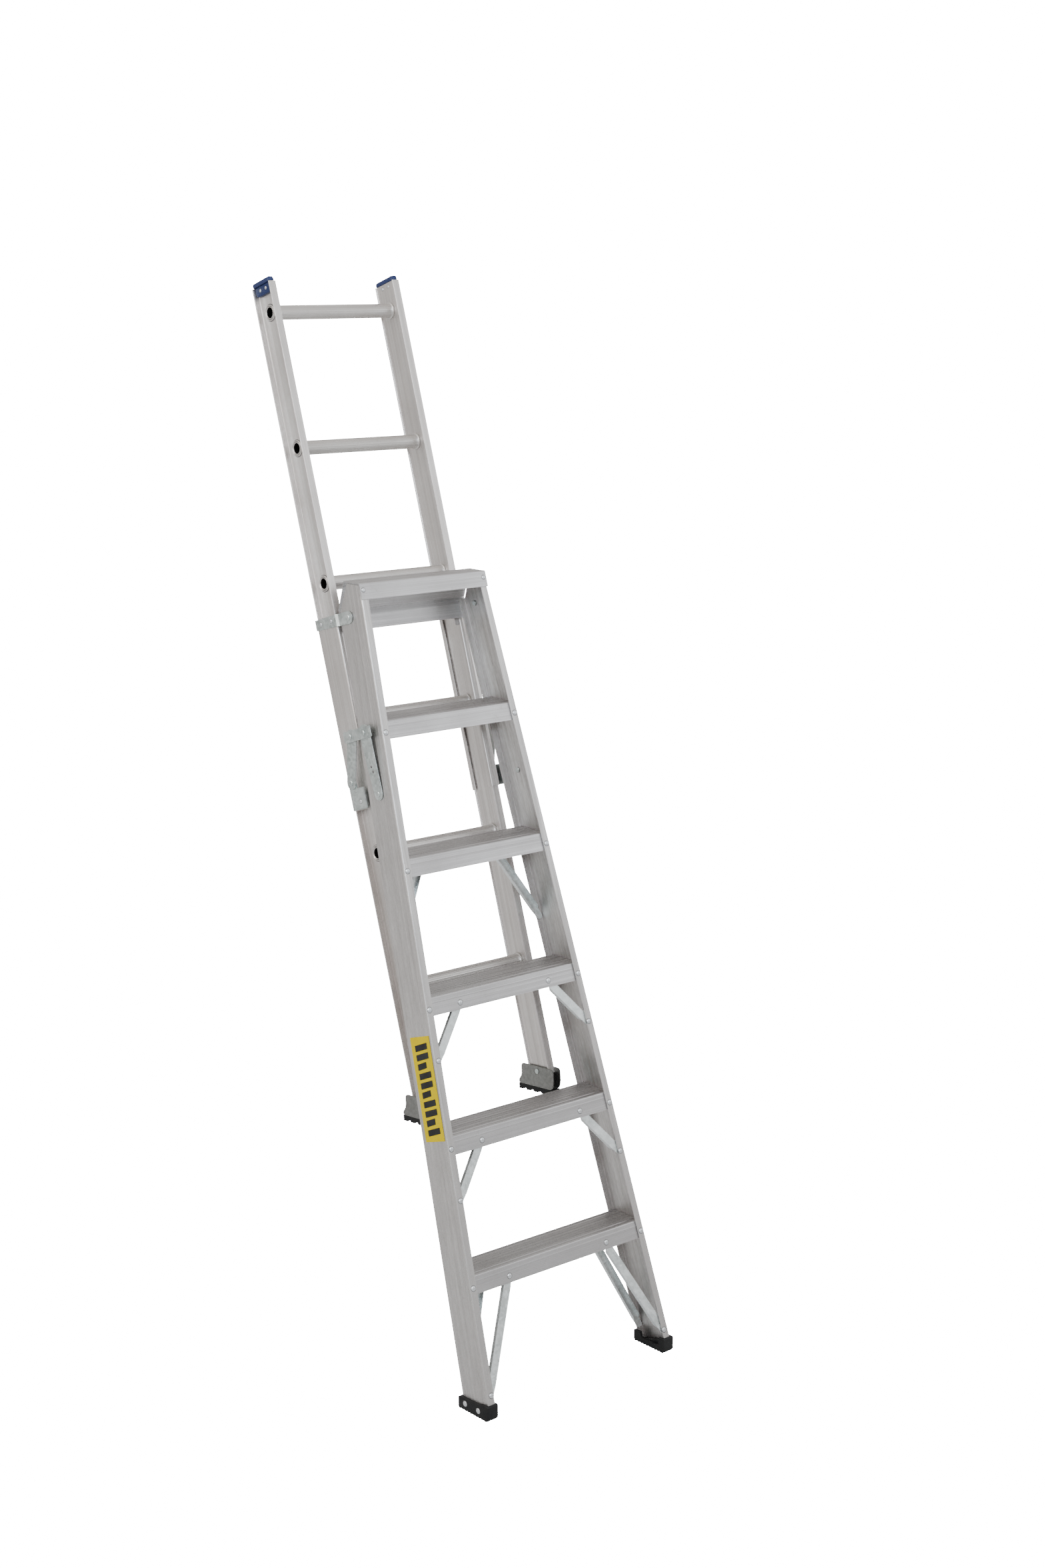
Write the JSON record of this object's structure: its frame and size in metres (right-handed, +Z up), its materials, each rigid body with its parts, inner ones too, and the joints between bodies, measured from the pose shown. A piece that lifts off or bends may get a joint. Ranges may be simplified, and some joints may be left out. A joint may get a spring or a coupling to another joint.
{
  "type": "combination ladder",
  "caption": "Aluminium combination ladder: a tapered step section with braced flat steps and a sliding round-rung fly section in hinged guides, with folding spreaders and swivel shoes.",
  "frame": {"origin": "centre of the ladder's box at floor level, under the middle of the leaning ladder", "axes": "+X to the climber's right, +Y away from the climber in the direction of the lean, +Z up"},
  "size_m": [0.5558, 0.9304, 2.4001],
  "materials": {
    "aluminium": "mill finish, lightly brushed",
    "zinc_steel": "zinc plated, satin",
    "black_rubber": "matt",
    "blue_plastic": "satin"
  },
  "bodies": {
    "step_section": {"step_rail_left": "aluminium", "step_rail_right": "aluminium", "top_step": "aluminium", "step_2": "aluminium", "step_3": "aluminium", "step_4": "aluminium", "step_5": "aluminium", "step_6": "aluminium", "boot_left": "black_rubber", "boot_right": "black_rubber", "step_3_rear_brace_left": "zinc_steel", "step_3_rear_brace_right": "zinc_steel", "step_4_front_brace_left": "zinc_steel", "step_4_front_brace_right": "zinc_steel", "step_5_front_brace_left": "zinc_steel", "step_5_front_brace_right": "zinc_steel", "step_6_front_brace_left": "zinc_steel", "step_6_front_brace_right": "zinc_steel", "step_6_rear_brace_left": "zinc_steel", "step_6_rear_brace_right": "zinc_steel", "hinge_pin_left": "zinc_steel", "hinge_pin_right": "zinc_steel", "spreader_rail_pin_left": "zinc_steel", "spreader_rail_pin_right": "zinc_steel"},
    "guides": {"guide_left": "aluminium", "guide_right": "aluminium", "hinge_strap_left": "zinc_steel", "hinge_strap_right": "zinc_steel", "spreader_foot_left": "zinc_steel", "spreader_foot_right": "zinc_steel", "spreader_guide_pin_left": "zinc_steel", "spreader_guide_pin_right": "zinc_steel"},
    "fly_section": {"fly_rail_left": "aluminium", "fly_rail_right": "aluminium", "rung_1": "aluminium", "rung_2": "aluminium", "rung_3": "aluminium", "rung_4": "aluminium", "rung_5": "aluminium", "rung_6": "aluminium", "end_cap_left": "blue_plastic", "end_cap_right": "blue_plastic", "shoe_pin_left": "zinc_steel", "shoe_pin_right": "zinc_steel"},
    "shoe_left": {"shoe_bracket_left": "aluminium", "shoe_pad_left": "black_rubber"},
    "shoe_right": {"shoe_bracket_right": "aluminium", "shoe_pad_right": "black_rubber"},
    "front_arm_left": {"spreader_front_arm_left": "zinc_steel", "front_knee_rivet_left": "zinc_steel"},
    "plate_left": {"spreader_plate_left": "zinc_steel", "rear_knee_rivet_left": "zinc_steel"},
    "rear_arm_left": {"spreader_rear_arm_left": "zinc_steel"},
    "front_arm_right": {"spreader_front_arm_right": "zinc_steel", "front_knee_rivet_right": "zinc_steel"},
    "plate_right": {"spreader_plate_right": "zinc_steel", "rear_knee_rivet_right": "zinc_steel"},
    "rear_arm_right": {"spreader_rear_arm_right": "zinc_steel"}
  },
  "joints": [
    {"name": "guide_hinge", "type": "hinge", "parent": "step_section", "child": "guides", "pos_m": [0, 0.1214, 1.67601], "axis": [1, 0, 0], "range_deg": [0, 30.5]},
    {"name": "fly_slide", "type": "slide", "parent": "guides", "child": "fly_section", "axis": [0, 0.299, 0.9542], "range_m": [-0.6096, 0.3048]},
    {"name": "shoe_left_hinge", "type": "hinge", "parent": "fly_section", "child": "shoe_left", "pos_m": [-0.171, -0.11971, 0.61569], "axis": [1, 0, 0], "range_deg": [-45, 45]},
    {"name": "shoe_right_hinge", "type": "hinge", "parent": "fly_section", "child": "shoe_right", "pos_m": [0.171, -0.11971, 0.61569], "axis": [1, 0, 0], "range_deg": [-45, 45]},
    {"name": "front_arm_left_hinge", "type": "hinge", "parent": "step_section", "child": "front_arm_left", "pos_m": [-0.2017, -0.00695, 1.30507], "axis": [1, 0, 0], "range_deg": [-62, 0]},
    {"name": "plate_left_hinge", "type": "hinge", "parent": "front_arm_left", "child": "plate_left", "pos_m": [-0.2042, 0.04158, 1.43412], "axis": [1, 0, 0], "range_deg": [0, 89]},
    {"name": "rear_arm_left_hinge", "type": "hinge", "parent": "guides", "child": "rear_arm_left", "pos_m": [-0.1992, 0.09565, 1.31211], "axis": [1, 0, 0], "range_deg": [0, 67]},
    {"name": "front_arm_right_hinge", "type": "hinge", "parent": "step_section", "child": "front_arm_right", "pos_m": [0.2017, -0.00695, 1.30507], "axis": [1, 0, 0], "range_deg": [-62, 0]},
    {"name": "plate_right_hinge", "type": "hinge", "parent": "front_arm_right", "child": "plate_right", "pos_m": [0.2042, 0.04158, 1.43412], "axis": [1, 0, 0], "range_deg": [0, 89]},
    {"name": "rear_arm_right_hinge", "type": "hinge", "parent": "guides", "child": "rear_arm_right", "pos_m": [0.1992, 0.09565, 1.31211], "axis": [1, 0, 0], "range_deg": [0, 67]}
  ],
  "couplings": [
    {"joint": "front_arm_left_hinge", "follows": "guide_hinge", "ratio": -1.991},
    {"joint": "plate_left_hinge", "follows": "guide_hinge", "ratio": 2.8662},
    {"joint": "rear_arm_left_hinge", "follows": "guide_hinge", "ratio": 2.1531},
    {"joint": "front_arm_right_hinge", "follows": "guide_hinge", "ratio": -1.991},
    {"joint": "plate_right_hinge", "follows": "guide_hinge", "ratio": 2.8662},
    {"joint": "rear_arm_right_hinge", "follows": "guide_hinge", "ratio": 2.1531}
  ]
}
